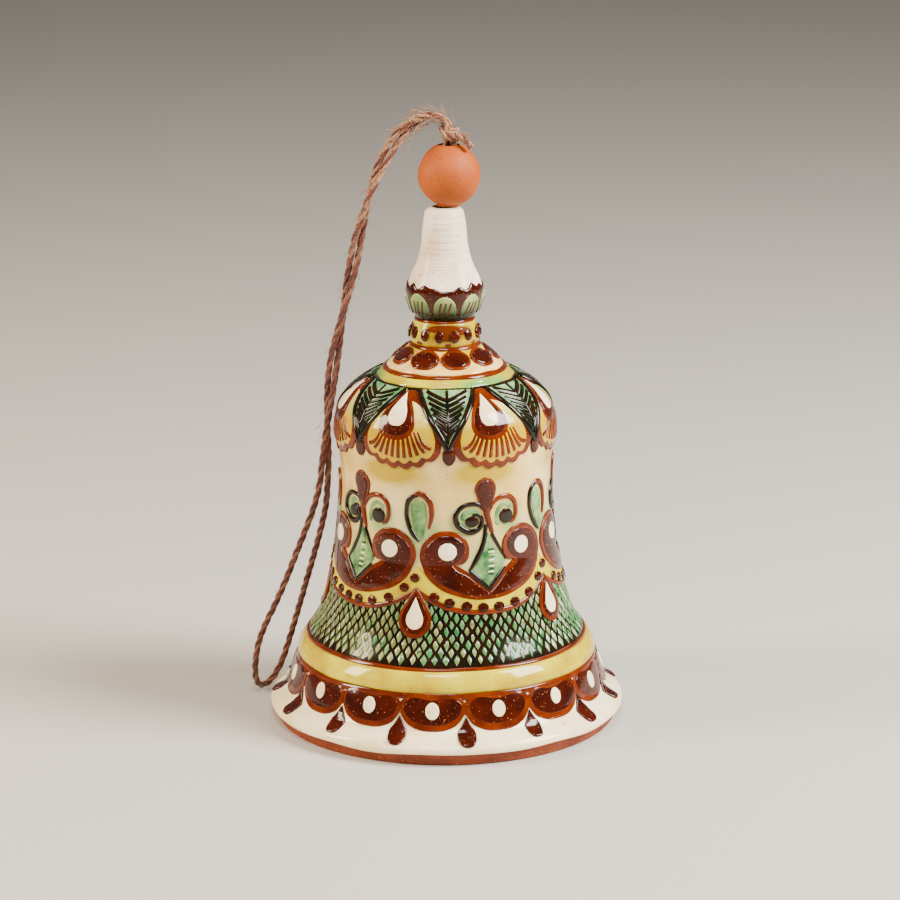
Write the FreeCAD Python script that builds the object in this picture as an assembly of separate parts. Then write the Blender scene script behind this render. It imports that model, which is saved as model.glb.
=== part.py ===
import FreeCAD, Part
import math
import os

# A small hand bell thrown in red clay: a flared shell with a hollow stem handle, a clay bead on top,
# and one doubled length of twine that holds the bead, carries the clapper and ends in a hanging loop.
# Millimetres, +Z up.  The origin is the centre of the rim, on the surface that the bell stands on.

V = FreeCAD.Vector

# ---- driving sizes of the fired shell ------------------------------------------------------------
rim_radius = 39.6            # widest point of the rolled lip
rim_height = 3.4             # height of that widest point
foot_radius = 38.1           # outer edge of the flat foot that the bell stands on
foot_width = 2.6             # width of that flat foot
ridge_radius = 33.1          # thrown ridge above the lip
ridge_bottom = 14.0
ridge_top = 15.9
waist_radius = 23.3
waist_height = 50.0
shoulder_radius = 23.8
shoulder_height = 67.2
crown_radius = 14.4          # edge where the shoulder turns into the cone under the neck
crown_height = 78.2
neck_radius = 7.1            # groove under the ring of dots
neck_height = 85.4
throat_radius = 6.25         # thinnest point between the ring and the collar
throat_height = 91.0
collar_radius = 8.05
collar_height = 97.4
handle_radius = 4.45         # near the tip
handle_top = 115.2
tip_rounding = 1.2
wall = 3.6                   # thickness of the shell
dome_height = 77.6           # inside, under the crown
bore_radius = 2.5            # hole for the twine, from the dome to the tip of the handle

# ---- bead, twine, clapper ------------------------------------------------------------------------
bead_radius = 7.0
bead_bore_radius = 2.4
bead_lean = 1.1              # the bead sits a little to one side of the handle's axis
strand_diameter = 1.6
doubled_diameter = 2 * strand_diameter
top_knot_radius = 2.9
top_knot_height = 4.0
crown_knot_radius = 4.2
crown_knot_height = 5.0
clapper_radius = 7.5
clapper_bore_radius = 1.9
clapper_height = 17.0        # centre of the ball above the rim's plane
clapper_knot_radius = 3.0
clapper_knot_height = 4.2

# ---- clearances ----------------------------------------------------------------------------------
lean_room = 1.7              # free room beside the twine, in bore and bead, that bead_lean goes with
clapper_clearance = 0.3      # round the twine where the hole in the clapper's ball squeezes it
seat_gap = 0.3               # between pieces that turn or swing past each other
knot_sink = 0.8              # how far a twine runs into its knot
hinge_gap = 1.35             # from a bend's centre to the full section of the twine, each side
bend_core = 1.3              # radius of the twine's core across a bend
swing_gap = 0.35             # from the clapper's swing axis to the twine, each side

bore_room = bore_radius - doubled_diameter / 2
bead_room = bead_bore_radius - doubled_diameter / 2
bead_x = bead_lean * (bore_room + bead_room) / lean_room
bead_height = handle_top + seat_gap - 0.15 + bead_radius
top_knot_centre = V(bead_x + 0.3, 0, bead_height + bead_radius + top_knot_height / 2 + 0.1)
crown_knot_centre = V(0, 0, dome_height - seat_gap - crown_knot_height / 2)
swing_height = crown_knot_centre.z - crown_knot_height / 2 - swing_gap


def turned(edges):
    """A solid of revolution about Z from edges drawn in the XZ plane."""
    face = Part.Face(Part.Wire(Part.__sortEdges__(edges)))
    solid = face.revolve(V(0, 0, 0), V(0, 0, 1), 360)
    return solid if isinstance(solid, Part.Solid) else Part.Solid(solid.Shells[0])


def line(a, b):
    return Part.LineSegment(a, b).toShape()


def curve(points):
    """A smooth curve through the points."""
    spline = Part.BSplineCurve()
    spline.interpolate(points)
    return spline.toShape()


def at(radius, height):
    return V(radius, 0, height)


# ---- the shell -----------------------------------------------------------------------------------
def bell_body():
    """Outside and inside outlines of the thrown shell, with the stem handle and its bore."""
    lip = curve([
        at(foot_radius, 0),
        at(rim_radius - 0.9, rim_height - 1.7),
        at(rim_radius, rim_height),
        at(rim_radius - 1.0, rim_height + 1.4),
        at(rim_radius - 2.9, rim_height + 2.3),
        at(ridge_radius + 1.6, ridge_bottom - 4.9),
        at(ridge_radius, ridge_bottom),
    ])
    ridge = line(at(ridge_radius, ridge_bottom), at(ridge_radius, ridge_top))
    side = curve([
        at(ridge_radius, ridge_top),
        at(ridge_radius - 1.8, ridge_top + 3.0),
        at(ridge_radius - 4.5, ridge_top + 7.2),
        at(waist_radius + 3.4, waist_height - 21.5),
        at(waist_radius + 1.1, waist_height - 11.5),
        at(waist_radius, waist_height),
        at(waist_radius - 0.1, waist_height + 7.5),
        at(shoulder_radius, shoulder_height),
        at(shoulder_radius - 1.4, shoulder_height + 4.8),
        at(shoulder_radius - 4.6, shoulder_height + 8.2),
        at(crown_radius, crown_height),
    ])
    cone = curve([
        at(crown_radius, crown_height),
        at(crown_radius - 2.4, crown_height + 2.7),
        at(neck_radius + 0.9, neck_height - 1.1),
        at(neck_radius, neck_height),
    ])
    ring = curve([
        at(neck_radius, neck_height),
        at(neck_radius + 0.2, neck_height + 1.9),
        at(throat_radius + 0.3, throat_height - 1.2),
        at(throat_radius, throat_height),
    ])
    stem = curve([
        at(throat_radius, throat_height),
        at(collar_radius - 0.7, collar_height - 3.4),
        at(collar_radius, collar_height),
        at(collar_radius - 1.6, collar_height + 4.4),
        at(handle_radius + 0.5, collar_height + 9.6),
        at(handle_radius, handle_top - 3.0),
        at(handle_radius - 0.35, handle_top - tip_rounding),
    ])
    tip_edge = at(handle_radius - 0.35 - tip_rounding, handle_top)
    tip_middle = at(handle_radius - 0.35 - 0.3 * tip_rounding, handle_top - 0.3 * tip_rounding)
    tip = Part.Arc(at(handle_radius - 0.35, handle_top - tip_rounding), tip_middle, tip_edge).toShape()
    bore_top = at(bore_radius, handle_top)
    bore_bottom = at(bore_radius, dome_height)
    foot_inside = at(foot_radius - foot_width, 0)
    inside = curve([
        foot_inside,
        at(foot_radius - foot_width - 1.4, 1.4),
        at(ridge_radius - wall + 1.2, ridge_bottom - 5.0),
        at(ridge_radius - wall, ridge_bottom),
        at(ridge_radius - wall - 4.8, ridge_top + 7.2),
        at(waist_radius - wall + 1.6, waist_height - 15.5),
        at(waist_radius - wall, waist_height),
        at(shoulder_radius - wall, shoulder_height - 2.0),
        at(shoulder_radius - wall - 2.6, shoulder_height + 4.0),
        at(crown_radius - 3.0, dome_height - 2.4),
        bore_bottom,
    ])
    return turned([
        line(foot_inside, at(foot_radius, 0)),
        lip, ridge, side, cone, ring, stem, tip,
        line(tip_edge, bore_top),
        line(bore_top, bore_bottom),
        inside,
    ])


# ---- turned clay pieces --------------------------------------------------------------------------
def bored_ball(radius, bore, centre):
    """A ball with a hole through it along Z."""
    height = math.sqrt(radius ** 2 - bore ** 2)
    outside = Part.Arc(at(bore, -height), at(radius, 0), at(bore, height)).toShape()
    ball = turned([outside, line(at(bore, height), at(bore, -height))])
    ball.translate(centre)
    return ball


def knot(radius, height, centre, flat_below=False):
    """A tied knot's outer shape: a round lump, flat underneath where another stretch hangs from it."""
    half = height / 2
    waist = at(radius, 0)
    upper = Part.Arc(at(0.35 * radius, half), at(0.86 * radius, 0.62 * half), waist).toShape()
    low = at(0.6 * radius, -half) if flat_below else at(0.35 * radius, -half)
    lower = Part.Arc(waist, at(0.9 * radius, -0.6 * half), low).toShape()
    lump = turned([
        line(at(0, -half), low), lower, upper,
        line(at(0.35 * radius, half), at(0, half)),
        line(at(0, half), at(0, -half)),
    ])
    lump.translate(centre)
    return lump


# ---- twine ---------------------------------------------------------------------------------------
def rounded_path(points):
    """Straight runs joined by tangent arcs, each arc as large as its two runs allow."""
    edges = []
    radii = []
    start = points[0]
    for before, corner, after in zip(points, points[1:], points[2:]):
        incoming = (corner - before).normalize()
        outgoing = (after - corner).normalize()
        half_turn = incoming.getAngle(outgoing) / 2
        reach = 0.45 * min((corner - before).Length, (after - corner).Length)
        radius = reach / math.tan(half_turn)
        radii.append(round(radius, 1))
        arc_start = corner - incoming * reach
        arc_end = corner + outgoing * reach
        inward = (outgoing - incoming).normalize()
        middle = corner + inward * (radius / math.cos(half_turn) - radius)
        edges.append(line(start, arc_start))
        edges.append(Part.Arc(arc_start, middle, arc_end).toShape())
        start = arc_end
    edges.append(line(start, points[-1]))
    return Part.Wire(edges), radii


def twine(name, points, diameter):
    """A round tube of the twine's section along its path."""
    path, radii = rounded_path(points)
    direction = (points[1] - points[0]).normalize()
    section = Part.Wire(Part.makeCircle(diameter / 2, points[0], direction))
    tube = path.makePipeShell([section], True, False)
    expected = math.pi * diameter ** 2 / 4 * path.Length
    print(name, "length", round(path.Length, 1), "volume/expected", round(tube.Volume / expected, 4))
    print("  bend radii", radii)
    return tube


def beyond(centre, direction, distance):
    """A block that fills the space past a plane, used to part a twine at a bend."""
    block = Part.makeBox(400, 400, 400, V(-200, -200, distance))
    block.Placement = FreeCAD.Placement(centre, FreeCAD.Rotation(V(0, 0, 1), direction))
    return block


def bend_ball(centre, direction):
    """The twine's core across a bend, which the next stretch turns about."""
    length = hinge_gap + 0.3
    stub = Part.makeCylinder(bend_core, length, centre - direction * length, direction)
    return stub.fuse(Part.makeSphere(bend_core, centre))


# The doubled twine leaves the knot, arches over and hangs down beside the bell to where it opens.
side_x = -(shoulder_radius + doubled_diameter / 2 + 0.8)
knot_x = top_knot_centre.x
knot_z = top_knot_centre.z
doubled_route = [
    V(knot_x, 0, knot_z - 0.2),
    V(knot_x - 0.9, 0, knot_z + 3.2),
    V(knot_x - 4.5, 0, knot_z + 4.3),
    V(knot_x - 9.7, 0, knot_z + 1.6),
    V(knot_x - 15.1, 0, knot_z - 6.3),
    V(knot_x - 19.1, 0.4, knot_z - 17.6),
    V(side_x + 5.0, 0.9, 97.0),
    V(side_x + 1.4, 1.4, 80.5),
    V(side_x - 0.1, 1.8, 66.5),
    V(side_x - 0.5, 2.0, 58.5),
    V(side_x - 1.0, 2.3, 53.0),
]
# It opens into a loop whose far end lies on the surface just outside the rim.
outside_x = -(rim_radius + strand_diameter)
split = doubled_route[-1]
split_side = V(-0.51 * strand_diameter, 0, 0)
open_route = [
    split + split_side,
    V(side_x - 2.6, 2.1, 48.4),
    V(side_x - 6.3, 3.2, 38.8),
    V(side_x - 11.4, 5.1, 25.4),
    V(outside_x - 1.6, 7.5, 14.6),
    V(outside_x - 2.9, 9.0, 6.4),
    V(outside_x - 2.4, 11.3, 1.3),
    V(outside_x + 0.4, 14.6, 1.2),
    V(outside_x + 3.0, 17.4, 5.0),
    V(outside_x + 5.9, 16.2, 14.5),
    V(side_x - 5.1, 10.6, 29.0),
    V(side_x - 1.8, 6.0, 41.2),
    V(side_x - 0.4, 3.4, 48.2),
    split - split_side,
]
tail_route = [
    V(knot_x + 0.8, -0.4, knot_z + 0.4),
    V(knot_x + 3.6, -1.4, knot_z - 0.3),
    V(knot_x + 5.6, -2.3, knot_z - 2.2),
    V(knot_x + 6.9, -2.9, knot_z - 4.7),
]
bore_route = [
    top_knot_centre - V(0, 0, top_knot_height / 2 - knot_sink),
    V(bead_x, 0, bead_height - 1.0),
    V(0, 0, handle_top - 7.2),
    V(0, 0, crown_knot_centre.z + crown_knot_height / 2 - knot_sink),
]
lift_centre = (doubled_route[2] + doubled_route[3]) / 2
lift_direction = (doubled_route[3] - doubled_route[2]).normalize()
unfold_centre = (doubled_route[4] + doubled_route[5]) / 2
unfold_direction = (doubled_route[5] - doubled_route[4]).normalize()


def clapper_stretch(top, bottom, ball_top):
    """The clapper's twine: its full section down to the ball, then as the ball's hole squeezes it."""
    free = Part.makeCylinder(doubled_diameter / 2, top - ball_top, V(0, 0, ball_top))
    squeezed_radius = clapper_bore_radius - clapper_clearance
    squeezed = Part.makeCylinder(squeezed_radius, ball_top - bottom, V(0, 0, bottom))
    return free.fuse(squeezed).removeSplitter()


def main():
    """Make every piece and write each to its own file."""
    doubled = twine("doubled", doubled_route, doubled_diameter)
    before_lift = beyond(lift_centre, lift_direction * -1, hinge_gap)
    after_lift = beyond(lift_centre, lift_direction, hinge_gap)
    before_unfold = beyond(unfold_centre, unfold_direction * -1, hinge_gap)
    after_unfold = beyond(unfold_centre, unfold_direction, hinge_gap)
    root = doubled.common(before_lift).fuse(bend_ball(lift_centre, lift_direction))
    bend = doubled.common(after_lift).common(before_unfold)
    bend = bend.fuse(bend_ball(unfold_centre, unfold_direction))
    ball_centre = V(0, 0, clapper_height)
    ball_half = math.sqrt(clapper_radius ** 2 - clapper_bore_radius ** 2)
    knot_below = clapper_height - ball_half - clapper_knot_height / 2 + 0.5
    cord_top = swing_height - swing_gap
    cord_bottom = knot_below + clapper_knot_height / 2 - knot_sink
    pieces = {
        "bell_body": bell_body(),
        "top_bead": bored_ball(bead_radius, bead_bore_radius, V(bead_x, 0, bead_height)),
        "top_knot": knot(top_knot_radius, top_knot_height, top_knot_centre),
        "knot_tail": twine("tail", tail_route, strand_diameter),
        "bore_twine": twine("bore", bore_route, doubled_diameter),
        "crown_knot": knot(crown_knot_radius, crown_knot_height, crown_knot_centre, flat_below=True),
        "clapper_twine": clapper_stretch(cord_top, cord_bottom, clapper_height + ball_half + seat_gap),
        "clapper_ball": bored_ball(clapper_radius, clapper_bore_radius, ball_centre),
        "clapper_knot": knot(clapper_knot_radius, clapper_knot_height, V(0, 0, knot_below)),
        "loop_root": root.removeSplitter(),
        "loop_bend": bend.removeSplitter(),
        "loop_doubled": doubled.common(after_unfold),
        "loop_open": twine("open loop", open_route, strand_diameter),
    }
    os.makedirs("parts", exist_ok=True)
    for name, shape in pieces.items():
        solid = shape.Solids[0]
        solid.exportStep("parts/" + name + ".step")
        box = solid.optimalBoundingBox()
        low = [round(v, 2) for v in (box.XMin, box.YMin, box.ZMin)]
        high = [round(v, 2) for v in (box.XMax, box.YMax, box.ZMax)]
        print(name, "solids", len(shape.Solids), "valid", solid.isValid(),
              "volume", round(solid.Volume, 1), low, high)
    print("bead_spin axis x", bead_x, "  clapper_swing z", swing_height)
    print("loop_lift at", lift_centre, "  loop_unfold at", unfold_centre)


main()
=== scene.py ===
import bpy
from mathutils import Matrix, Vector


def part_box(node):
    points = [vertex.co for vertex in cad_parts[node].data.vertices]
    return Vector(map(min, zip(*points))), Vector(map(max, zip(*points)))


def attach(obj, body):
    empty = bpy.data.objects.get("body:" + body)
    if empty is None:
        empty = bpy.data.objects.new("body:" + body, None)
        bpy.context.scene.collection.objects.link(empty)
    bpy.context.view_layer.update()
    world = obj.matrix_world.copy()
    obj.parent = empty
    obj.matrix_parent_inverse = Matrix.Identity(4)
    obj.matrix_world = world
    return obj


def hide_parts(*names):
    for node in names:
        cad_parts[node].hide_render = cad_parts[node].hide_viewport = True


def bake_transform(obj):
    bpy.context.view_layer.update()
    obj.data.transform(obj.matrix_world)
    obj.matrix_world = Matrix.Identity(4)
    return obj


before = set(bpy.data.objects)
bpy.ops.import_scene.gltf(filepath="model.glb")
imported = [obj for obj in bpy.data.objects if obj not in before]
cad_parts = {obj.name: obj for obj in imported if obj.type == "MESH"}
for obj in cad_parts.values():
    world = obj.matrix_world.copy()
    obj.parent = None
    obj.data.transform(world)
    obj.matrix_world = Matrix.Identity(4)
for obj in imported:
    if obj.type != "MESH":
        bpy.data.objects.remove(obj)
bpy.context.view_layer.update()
print(len(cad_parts), "solids in the frame")

# %% [markdown]
# A small hand bell thrown in red clay.  The clay is dipped in cream slip, painted with brown, yellow and
# green slips from a horn, and glazed clear.  A twisted twine runs through a clay bead and the handle,
# and carries the clapper.  This lesson builds its looks around the imported frame, piece by piece.
# Heights and lifts are in millimetres and angles in degrees until a piece is laid on the shell.
#
# First come a few tools.  Blender's operators act on all that is selected, so each tool selects only what
# it is given.  Every finished piece gets a name, a finish, a slot and, if it has one, the body that it moves
# with.

# %% Tools
import math
import random
import bpy
import numpy as np
from mathutils import Vector
from mathutils.bvhtree import BVHTree
from mathutils.kdtree import KDTree

MM = 0.001
hand = random.Random(11)


def deselect():
    """Nothing selected, in object mode."""
    if bpy.context.object and bpy.context.object.mode != "OBJECT":
        bpy.ops.object.mode_set(mode="OBJECT")
    bpy.ops.object.select_all(action="DESELECT")


def pick(*pieces):
    """Select these pieces, the first one active."""
    deselect()
    for piece in pieces:
        piece.select_set(True)
    bpy.context.view_layer.objects.active = pieces[0]


def edit(piece, *steps):
    """Run operators on the whole of a piece in edit mode."""
    pick(piece)
    bpy.ops.object.mode_set(mode="EDIT")
    bpy.ops.mesh.select_all(action="SELECT")
    for step in steps:
        step()
    bpy.ops.object.mode_set(mode="OBJECT")


def heal(piece, gap=0.004 * MM):
    """Merge doubled vertices and turn every face outwards."""
    edit(piece, lambda: bpy.ops.mesh.remove_doubles(threshold=gap),
         lambda: bpy.ops.mesh.normals_make_consistent(inside=False))


def smooth(piece, angle=40):
    pick(piece)
    bpy.ops.object.shade_smooth_by_angle(angle=math.radians(angle))


def finish_piece(piece, name, material, body):
    """Name a piece, give it its finish and let it ride on its body."""
    piece.name = name
    piece.data.name = name
    piece.data.materials.clear()
    piece.data.materials.append(material)
    if body:
        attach(piece, body)
    print(name, len(piece.data.polygons), "faces")
    return piece


# %% [markdown]
# The camera looks down at the bell from a little above, through a long lens, which keeps the outline
# nearly free of perspective.  The floor is a plain pale sheet.  The light is one large soft box on the
# right, a weaker warm one on the left, a third above the front, and a pale surround.  Small lamps would
# light the clay as well, but glaze needs large things to reflect.

# %% Camera, floor and light
def add_camera():
    deselect()
    bpy.ops.object.camera_add(location=(0.00103, -0.68903, 0.23994))
    camera = bpy.context.object
    camera.rotation_euler = (math.radians(90 - 14.608), 0, 0)
    camera.rotation_euler.rotate_axis("Z", math.radians(-0.25))
    camera.data.lens = 128
    camera.data.sensor_width = 36
    camera.data.clip_start = 0.05
    bpy.context.scene.camera = camera


def add_floor():
    deselect()
    bpy.ops.mesh.primitive_plane_add(size=6, location=(0, 0, -0.0001))
    floor = bpy.context.object
    floor.name = "floor"
    paint = bpy.data.materials.new("floor_paint")
    paint.use_nodes = True
    shader = paint.node_tree.nodes["Principled BSDF"]
    shader.inputs["Base Color"].default_value = (0.5, 0.47, 0.43, 1)
    shader.inputs["Roughness"].default_value = 0.6
    floor.data.materials.append(paint)


def add_light(place, size, power, colour, target=(0, 0, 0.06)):
    deselect()
    bpy.ops.object.light_add(type="AREA", location=place)
    light = bpy.context.object
    light.data.shape = "RECTANGLE"
    light.data.size, light.data.size_y = size
    light.data.energy = power
    light.data.color = colour
    aim = Vector(target) - Vector(place)
    light.rotation_euler = aim.to_track_quat("-Z", "Y").to_euler()


add_camera()
add_floor()
add_light((0.55, -0.18, 0.5), (0.3, 0.36), 19, (1, 0.96, 0.9))
add_light((-0.6, -0.12, 0.36), (0.16, 0.3), 7.5, (1, 0.8, 0.55))
add_light((-0.05, -0.5, 0.75), (0.3, 0.2), 5.5, (1, 0.97, 0.92))
world = bpy.data.worlds.new("surround")
bpy.context.scene.world = world
world.use_nodes = True
world.node_tree.nodes["Background"].inputs[0].default_value = (1, 0.96, 0.9, 1)
world.node_tree.nodes["Background"].inputs[1].default_value = 0.23
print("camera", bpy.context.scene.camera.data.lens, "mm lens, 3 soft lights")

# %% [markdown]
# A finish is a chain of nodes that ends in one shader.  The chains here share most of their links, so a
# small class holds one material and adds noise, ramps, mixes and bumps to it by name.  Patterns follow
# the object's own coordinates, so they need no unwrapping and have no seams.

# %% Steps of a finish
def tone(red, green, blue):
    """A colour picked on a screen, made linear."""
    def linear(v):
        v = v / 255
        return v / 12.92 if v <= 0.04045 else ((v + 0.055) / 1.055) ** 2.4
    return (linear(red), linear(green), linear(blue), 1)


class Finish:
    """A node material that is built up step by step."""

    def __init__(self, name, roughness, coat=0.0, sheen=0.0):
        self.material = bpy.data.materials.new(name)
        self.material.use_nodes = True
        self.tree = self.material.node_tree
        self.shader = self.tree.nodes["Principled BSDF"]
        self.shader.inputs["Roughness"].default_value = roughness
        self.shader.inputs["Coat Weight"].default_value = coat
        self.shader.inputs["Coat Roughness"].default_value = 0.03
        self.shader.inputs["Specular IOR Level"].default_value = 0.08 if coat else 0.3
        self.shader.inputs["Sheen Weight"].default_value = sheen
        self.place = self.add("ShaderNodeTexCoord").outputs["Object"]

    def add(self, kind, **values):
        node = self.tree.nodes.new(kind)
        for key, value in values.items():
            setattr(node, key, value)
        return node

    def join(self, start, end):
        self.tree.links.new(start, end)

    def noise(self, scale, detail=3.0, rough=0.55, squash=(1, 1, 1)):
        mapping = self.add("ShaderNodeMapping")
        mapping.inputs["Scale"].default_value = squash
        self.join(self.place, mapping.inputs["Vector"])
        node = self.add("ShaderNodeTexNoise")
        node.inputs["Scale"].default_value = scale
        node.inputs["Detail"].default_value = detail
        node.inputs["Roughness"].default_value = rough
        self.join(mapping.outputs["Vector"], node.inputs["Vector"])
        return node.outputs["Fac"]

    def ramp(self, factor, *stops):
        node = self.add("ShaderNodeValToRGB")
        elements = node.color_ramp.elements
        while len(elements) < len(stops):
            elements.new(0.5)
        for element, (position, colour) in zip(elements, stops):
            element.position = position
            element.color = colour
        self.join(factor, node.inputs["Fac"])
        return node.outputs["Color"]

    def mix(self, factor, first, second):
        node = self.add("ShaderNodeMix", data_type="RGBA")
        self.join(factor, node.inputs[0])
        for value, socket in ((first, node.inputs[6]), (second, node.inputs[7])):
            if isinstance(value, tuple):
                socket.default_value = value
            else:
                self.join(value, socket)
        return node.outputs[2]

    def attribute(self, name):
        return self.add("ShaderNodeAttribute", attribute_name=name).outputs["Fac"]

    def bump(self, height, strength, distance):
        node = self.add("ShaderNodeBump")
        node.inputs["Strength"].default_value = strength
        node.inputs["Distance"].default_value = distance
        self.join(height, node.inputs["Height"])
        if self.shader.inputs["Normal"].is_linked:
            self.join(self.shader.inputs["Normal"].links[0].from_socket, node.inputs["Normal"])
        self.join(node.outputs["Normal"], self.shader.inputs["Normal"])

    def colour(self, socket):
        self.join(socket, self.shader.inputs["Base Color"])


WHITE, BLACK = (1, 1, 1, 1), (0, 0, 0, 1)
print("a tone of 128 is", round(tone(128, 128, 128)[0], 3), "in linear light")

# %% [markdown]
# Glaze is glass over colour: a smooth coat with a faint orange-peel, over slip that is never one even
# colour.  It is two tones mixed by a large soft noise, a third tone for specks, and sometimes a stain of
# another slip that is painted on the mesh as an attribute.  A flat colour would look like plastic.
# Bare clay has no coat: it is rough, gritty and ringed.  Twine has the soft sheen of its fibres.

# %% Glaze, bare clay and fibre
def glaze(name, first, second, speck, patch=230, speck_scale=2400, speck_level=0.66, stains=(), peel=0.1):
    """Clear gloss glaze over a slip of two tones with specks, and stains of other slips that ran."""
    finish = Finish(name, 0.2, coat=0.5)
    colour = finish.ramp(finish.noise(patch), (0.36, first), (0.66, second))
    for stain, run in stains:
        colour = finish.mix(finish.attribute(stain), colour, run)
    specks = finish.ramp(finish.noise(speck_scale, 1.0), (speck_level, BLACK), (speck_level + 0.04, WHITE))
    colour = finish.mix(specks, colour, speck)
    finish.colour(colour)
    finish.bump(finish.noise(520, 2.0), peel, 0.0003)
    return finish.material


def raw_clay(name, first, second, speck, rings=0.0, pits=0.25):
    """Bare fired clay: rough, uneven in colour, with fine grit and the potter's rings."""
    finish = Finish(name, 0.62)
    colour = finish.ramp(finish.noise(140, 5.0), (0.32, first), (0.7, second))
    grit = finish.ramp(finish.noise(1900, 2.0), (0.64, BLACK), (0.7, WHITE))
    finish.colour(finish.mix(grit, colour, speck))
    finish.bump(finish.noise(1100, 4.0, 0.65), pits, 0.0003)
    if rings:
        finish.bump(finish.noise(260, 2.0, squash=(0.08, 0.08, 3.0)), rings, 0.0006)
    return finish.material


def fibre(name, first, second, shine):
    """A ply of twisted fibres, seen as fine uneven flecks."""
    finish = Finish(name, shine, sheen=0.35)
    finish.shader.inputs["Sheen Roughness"].default_value = 0.5
    finish.colour(finish.ramp(finish.noise(1500, 4.0, 0.7), (0.35, first), (0.68, second)))
    finish.bump(finish.noise(4200, 3.0, 0.7), 0.6, 0.0002)
    return finish.material


print("three kinds of finish: glaze, bare clay, fibre")

# %% Tones of the slips and clays
CREAM = glaze("cream_slip", tone(246, 222, 160), tone(228, 180, 84), tone(150, 96, 44),
              speck_scale=1500, speck_level=0.735, patch=62,
              stains=(("yellow_run", tone(184, 154, 0)), ("green_run", tone(86, 146, 74))))
LIP_CREAM = glaze("lip_slip", tone(250, 236, 200), tone(242, 218, 164), tone(150, 96, 50),
                  speck_scale=1500, speck_level=0.73, patch=120)
BROWN = glaze("brown_slip", tone(42, 6, 0), tone(66, 14, 0), tone(176, 110, 70), speck_scale=2300,
              speck_level=0.7, peel=0.16)
RUST = glaze("rust_slip", tone(108, 38, 0), tone(78, 22, 0), tone(150, 76, 28), speck_scale=1600,
             speck_level=0.71, peel=0.12)
YELLOW = glaze("yellow_slip", tone(172, 138, 0), tone(214, 202, 10), tone(110, 62, 0), patch=85,
               speck_scale=1500, speck_level=0.73,
               stains=(("brown_run", tone(92, 36, 0)), ("green_run", tone(110, 156, 70))))
GREEN = glaze("green_slip", tone(132, 168, 104), tone(34, 92, 46), tone(14, 48, 20), patch=330,
              speck_scale=1500, speck_level=0.72)
BLACK_SLIP = glaze("black_slip", tone(8, 8, 3), tone(34, 14, 2), tone(76, 42, 16), patch=420,
                   speck_level=0.73)
CLAY = raw_clay("red_clay", tone(138, 60, 26), tone(104, 40, 16), tone(186, 108, 64), rings=0.5)
BEAD_CLAY = raw_clay("bead_clay", tone(170, 82, 0), tone(150, 64, 0), tone(112, 44, 4), pits=0.2)
RED_BROWN = fibre("red_brown_cotton", tone(112, 36, 4), tone(56, 14, 0), 0.36)
print(len(bpy.data.materials), "materials so far")

# %% [markdown]
# Some finishes need their own chain.  The handle has only thin white slip and no full glaze, so the
# potter's rings show.  Petals, leaves and arches change colour from top to bottom where two slips met,
# and the twine is paler at the top and browner further down.  A mix by height gives that, because
# the bell stands upright.  The net's cells each have their own tint, painted on as an attribute, with
# painted light and shade on top: cells on the right are paler, those on the left more olive.

# %% Handle slip, finishes that change with height, and the net's glaze
def handle_slip():
    """Thin white slip over the thrown handle: satin, with the potter's fine rings and brown specks."""
    finish = Finish("handle_slip", 0.36, coat=0.2)
    colour = finish.ramp(finish.noise(150, 4.0), (0.34, tone(248, 238, 220)), (0.72, tone(222, 192, 156)))
    specks = finish.ramp(finish.noise(1200, 2.0), (0.69, BLACK), (0.74, WHITE))
    finish.colour(finish.mix(specks, colour, tone(132, 70, 40)))
    finish.bump(finish.noise(420, 3.0, squash=(0.1, 0.1, 3.8)), 0.6, 0.0005)
    finish.bump(finish.noise(900, 3.0), 0.18, 0.0003)
    return finish.material


def by_height(name, roughness, low, high, start, end, coat=0.0, sheen=0.0, grain=230):
    """A finish that turns from one pair of tones to another between two heights, in metres."""
    finish = Finish(name, roughness, coat, sheen)
    below = finish.ramp(finish.noise(grain), (0.36, low[0]), (0.66, low[1]))
    above = finish.ramp(finish.noise(grain), (0.36, high[0]), (0.66, high[1]))
    height = finish.add("ShaderNodeMapRange")
    parts = finish.add("ShaderNodeSeparateXYZ")
    finish.join(finish.place, parts.inputs[0])
    finish.join(parts.outputs["Z"], height.inputs["Value"])
    height.inputs["From Min"].default_value = start
    height.inputs["From Max"].default_value = end
    finish.colour(finish.mix(height.outputs["Result"], below, above))
    finish.bump(finish.noise(2.3 * grain, 2.0), 0.12 if coat else 0.6, 0.0003)
    return finish.material


HANDLE_SLIP = handle_slip()
PETAL_SLIP = by_height("petal_slip", 0.16, (tone(196, 150, 0), tone(178, 152, 0)),
                       (tone(234, 212, 132), tone(164, 188, 100)), 0.0705, 0.0745, coat=0.5)
LEAF_GREEN = by_height("leaf_green", 0.16, (tone(20, 66, 30), tone(44, 104, 54)),
                       (tone(150, 184, 128), tone(62, 124, 66)), 0.0705, 0.0765, coat=0.6, grain=330)
ARCH_SLIP = by_height("arch_slip", 0.2, (tone(40, 48, 10), tone(20, 52, 20)),
                      (tone(166, 176, 104), tone(122, 150, 80)), 0.0928, 0.0958, coat=0.6)
TURNING = by_height("turning_cotton", 0.6, (tone(98, 34, 6), tone(56, 20, 4)),
                    (tone(176, 128, 90), tone(116, 72, 44)), 0.100, 0.126, sheen=0.3, grain=1500)
BEIGE = by_height("beige_cotton", 0.75, (tone(132, 80, 50), tone(84, 46, 28)),
                  (tone(176, 128, 90), tone(110, 68, 42)), 0.090, 0.118, sheen=0.3, grain=1500)


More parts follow.
